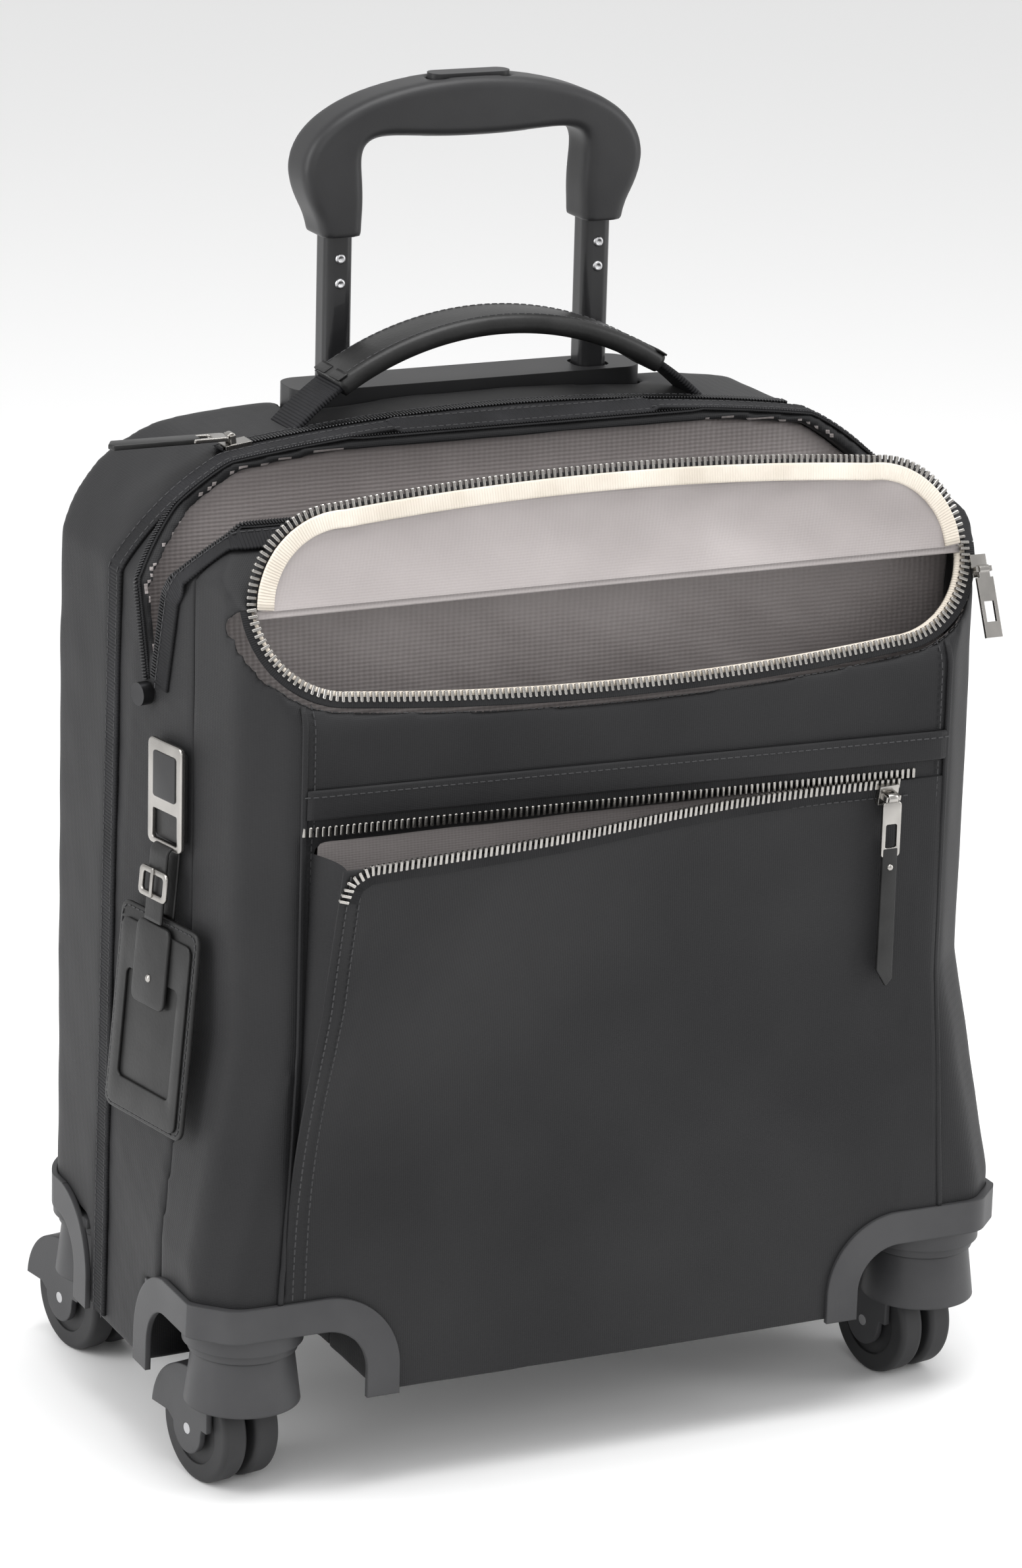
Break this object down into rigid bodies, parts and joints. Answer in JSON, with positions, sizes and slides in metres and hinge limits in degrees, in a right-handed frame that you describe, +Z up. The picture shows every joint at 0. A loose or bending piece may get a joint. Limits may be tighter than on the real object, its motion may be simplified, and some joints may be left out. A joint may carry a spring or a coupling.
{
  "type": "rolling laptop case",
  "caption": "Upright soft-sided laptop case on spinner casters, with a telescopic pull handle, carry handle, zipped laptop space and front pockets.",
  "frame": {"origin": "on the floor, midway between the four caster pins, under the middle of the case", "axes": "+Z up, the front pockets face -Y, +X to the right seen from the front"},
  "size_m": [0.3996, 0.2635, 0.576],
  "materials": {
    "black_nylon": "matt bonded nylon",
    "grey_lining": "satin lining",
    "ribbed_tape": "ribbed grosgrain",
    "zip_metal": "gunmetal plated teeth",
    "black_leather": "smooth, edge painted",
    "tube_black": "satin black anodised",
    "grip_plastic": "soft-touch black",
    "guard_plastic": "charcoal, fine grain",
    "wheel_rubber": "dark grey tread",
    "steel": "plated",
    "board_plastic": "stiffening board"
  },
  "bodies": {
    "case": {"rear_shell": "black_nylon", "laptop_gusset": "black_nylon", "laptop_zip": "zip_metal", "divider_panel": "grey_lining", "base_board": "board_plastic", "side_band": "ribbed_tape", "front_shell": "black_nylon", "organiser_wall": "grey_lining", "main_zip": "ribbed_tape", "frame_hoop": "steel", "handle_bezel": "grip_plastic", "outer_tubes": "steel", "carry_webbing": "ribbed_tape", "carry_grip": "black_leather", "upper_pocket_zip": "zip_metal", "upper_slider": "zip_metal", "lower_pocket_zip": "zip_metal", "main_slider": "zip_metal", "tag_plate": "zip_metal", "kingpins": "steel", "corner_guard_front_left": "guard_plastic", "corner_guard_front_right": "guard_plastic", "corner_guard_rear_left": "guard_plastic", "corner_guard_rear_right": "guard_plastic"},
    "middle_stage": {"middle_tubes": "tube_black"},
    "inner_stage": {"inner_tubes": "tube_black", "grip_front": "grip_plastic", "grip_rear": "grip_plastic", "button_spring": "steel"},
    "release": {"release_button": "grip_plastic", "push_rods": "steel"},
    "lock_pins": {"lock_pins": "steel"},
    "upper_flap": {"upper_flap": "black_nylon", "upper_flap_zip": "zip_metal"},
    "upper_pull": {"upper_pull": "zip_metal"},
    "lower_flap": {"lower_flap": "black_nylon", "lower_flap_zip": "zip_metal"},
    "lower_slider": {"lower_slider": "zip_metal"},
    "lower_pull": {"lower_pull": "zip_metal"},
    "main_pull": {"main_pull": "black_leather"},
    "laptop_slider": {"laptop_slider": "zip_metal"},
    "name_tag": {"tag_strap": "black_leather", "tag_buckle": "zip_metal", "name_tag": "black_leather"},
    "caster_front_left": {"fork_front_left": "guard_plastic", "axle_front_left": "steel"},
    "wheel_left_front_left": {"wheel_left_front_left": "wheel_rubber"},
    "wheel_right_front_left": {"wheel_right_front_left": "wheel_rubber"},
    "caster_front_right": {"fork_front_right": "guard_plastic", "axle_front_right": "steel"},
    "wheel_left_front_right": {"wheel_left_front_right": "wheel_rubber"},
    "wheel_right_front_right": {"wheel_right_front_right": "wheel_rubber"},
    "caster_rear_left": {"fork_rear_left": "guard_plastic", "axle_rear_left": "steel"},
    "wheel_left_rear_left": {"wheel_left_rear_left": "wheel_rubber"},
    "wheel_right_rear_left": {"wheel_right_rear_left": "wheel_rubber"},
    "caster_rear_right": {"fork_rear_right": "guard_plastic", "axle_rear_right": "steel"},
    "wheel_left_rear_right": {"wheel_left_rear_right": "wheel_rubber"},
    "wheel_right_rear_right": {"wheel_right_rear_right": "wheel_rubber"}
  },
  "joints": [
    {"name": "middle_stage_slide", "type": "slide", "parent": "case", "child": "middle_stage", "axis": [0, 0, 1], "range_m": [0, 0.21]},
    {"name": "inner_stage_slide", "type": "slide", "parent": "middle_stage", "child": "inner_stage", "axis": [0, 0, 1], "range_m": [-0.065, 0.245]},
    {"name": "release_button_press", "type": "slide", "parent": "inner_stage", "child": "release", "axis": [0, 0, -1], "range_m": [0, 0.005], "stiffness_N_per_m": 800, "springref_m": -0.004, "deforming": ["button_spring"]},
    {"name": "lock_pin_draw", "type": "slide", "parent": "inner_stage", "child": "lock_pins", "axis": [0, -1, 0], "range_m": [0, 0.0014]},
    {"name": "upper_flap_fold", "type": "hinge", "parent": "case", "child": "upper_flap", "pos_m": [0, -0.08086, 0.38948], "axis": [1, 0, 0], "range_deg": [0, 168]},
    {"name": "upper_pull_swing", "type": "hinge", "parent": "case", "child": "upper_pull", "pos_m": [0.1704, -0.09214, 0.38034], "axis": [-1, 0, 0], "range_deg": [0, 140]},
    {"name": "lower_flap_fold", "type": "hinge", "parent": "case", "child": "lower_flap", "pos_m": [-0.156, -0.102, 0.096], "axis": [0.8259, 0, 0.5639], "range_deg": [-12.5, 0]},
    {"name": "lower_slider_run", "type": "slide", "parent": "lower_flap", "child": "lower_slider", "axis": [-0.9922, -0.1245, 0.0028], "range_m": [0, 0.262]},
    {"name": "lower_pull_swing", "type": "hinge", "parent": "lower_slider", "child": "lower_pull", "pos_m": [0.12097, -0.11015, 0.28768], "axis": [-0.9925, -0.122, -0.011], "range_deg": [0, 140]},
    {"name": "main_pull_swing", "type": "hinge", "parent": "case", "child": "main_pull", "pos_m": [-0.1307, 0.029, 0.43455], "axis": [0, 1, 0], "range_deg": [0, 150]},
    {"name": "laptop_slider_run", "type": "slide", "parent": "case", "child": "laptop_slider", "axis": [0, 0, 1], "range_m": [0, 0.03]},
    {"name": "name_tag_swing", "type": "hinge", "parent": "case", "child": "name_tag", "pos_m": [-0.18504, -0.03877, 0.279], "axis": [-0.188, 0.9822, 0], "range_deg": [0, 80]},
    {"name": "caster_front_left_swivel", "type": "hinge", "parent": "case", "child": "caster_front_left", "pos_m": [-0.164, -0.078, 0], "axis": [0, 0, 1], "continuous": true},
    {"name": "wheel_left_front_left_spin", "type": "hinge", "parent": "caster_front_left", "child": "wheel_left_front_left", "pos_m": [-0.16678, -0.06224, 0.025], "axis": [0.9848, 0.1736, 0], "continuous": true},
    {"name": "wheel_right_front_left_spin", "type": "hinge", "parent": "caster_front_left", "child": "wheel_right_front_left", "pos_m": [-0.16678, -0.06224, 0.025], "axis": [0.9848, 0.1736, 0], "continuous": true},
    {"name": "caster_front_right_swivel", "type": "hinge", "parent": "case", "child": "caster_front_right", "pos_m": [0.164, -0.078, 0], "axis": [0, 0, 1], "continuous": true},
    {"name": "wheel_left_front_right_spin", "type": "hinge", "parent": "caster_front_right", "child": "wheel_left_front_right", "pos_m": [0.16122, -0.06224, 0.025], "axis": [0.9848, 0.1736, 0], "continuous": true},
    {"name": "wheel_right_front_right_spin", "type": "hinge", "parent": "caster_front_right", "child": "wheel_right_front_right", "pos_m": [0.16122, -0.06224, 0.025], "axis": [0.9848, 0.1736, 0], "continuous": true},
    {"name": "caster_rear_left_swivel", "type": "hinge", "parent": "case", "child": "caster_rear_left", "pos_m": [-0.164, 0.078, 0], "axis": [0, 0, 1], "continuous": true},
    {"name": "wheel_left_rear_left_spin", "type": "hinge", "parent": "caster_rear_left", "child": "wheel_left_rear_left", "pos_m": [-0.16678, 0.09376, 0.025], "axis": [0.9848, 0.1736, 0], "continuous": true},
    {"name": "wheel_right_rear_left_spin", "type": "hinge", "parent": "caster_rear_left", "child": "wheel_right_rear_left", "pos_m": [-0.16678, 0.09376, 0.025], "axis": [0.9848, 0.1736, 0], "continuous": true},
    {"name": "caster_rear_right_swivel", "type": "hinge", "parent": "case", "child": "caster_rear_right", "pos_m": [0.164, 0.078, 0], "axis": [0, 0, 1], "continuous": true},
    {"name": "wheel_left_rear_right_spin", "type": "hinge", "parent": "caster_rear_right", "child": "wheel_left_rear_right", "pos_m": [0.16122, 0.09376, 0.025], "axis": [0.9848, 0.1736, 0], "continuous": true},
    {"name": "wheel_right_rear_right_spin", "type": "hinge", "parent": "caster_rear_right", "child": "wheel_right_rear_right", "pos_m": [0.16122, 0.09376, 0.025], "axis": [0.9848, 0.1736, 0], "continuous": true}
  ],
  "couplings": [
    {"joint": "lock_pin_draw", "follows": "release_button_press", "ratio": 0.28},
    {"joint": "lower_flap_fold", "follows": "lower_slider_run", "rad_per_m": -0.83262}
  ]
}
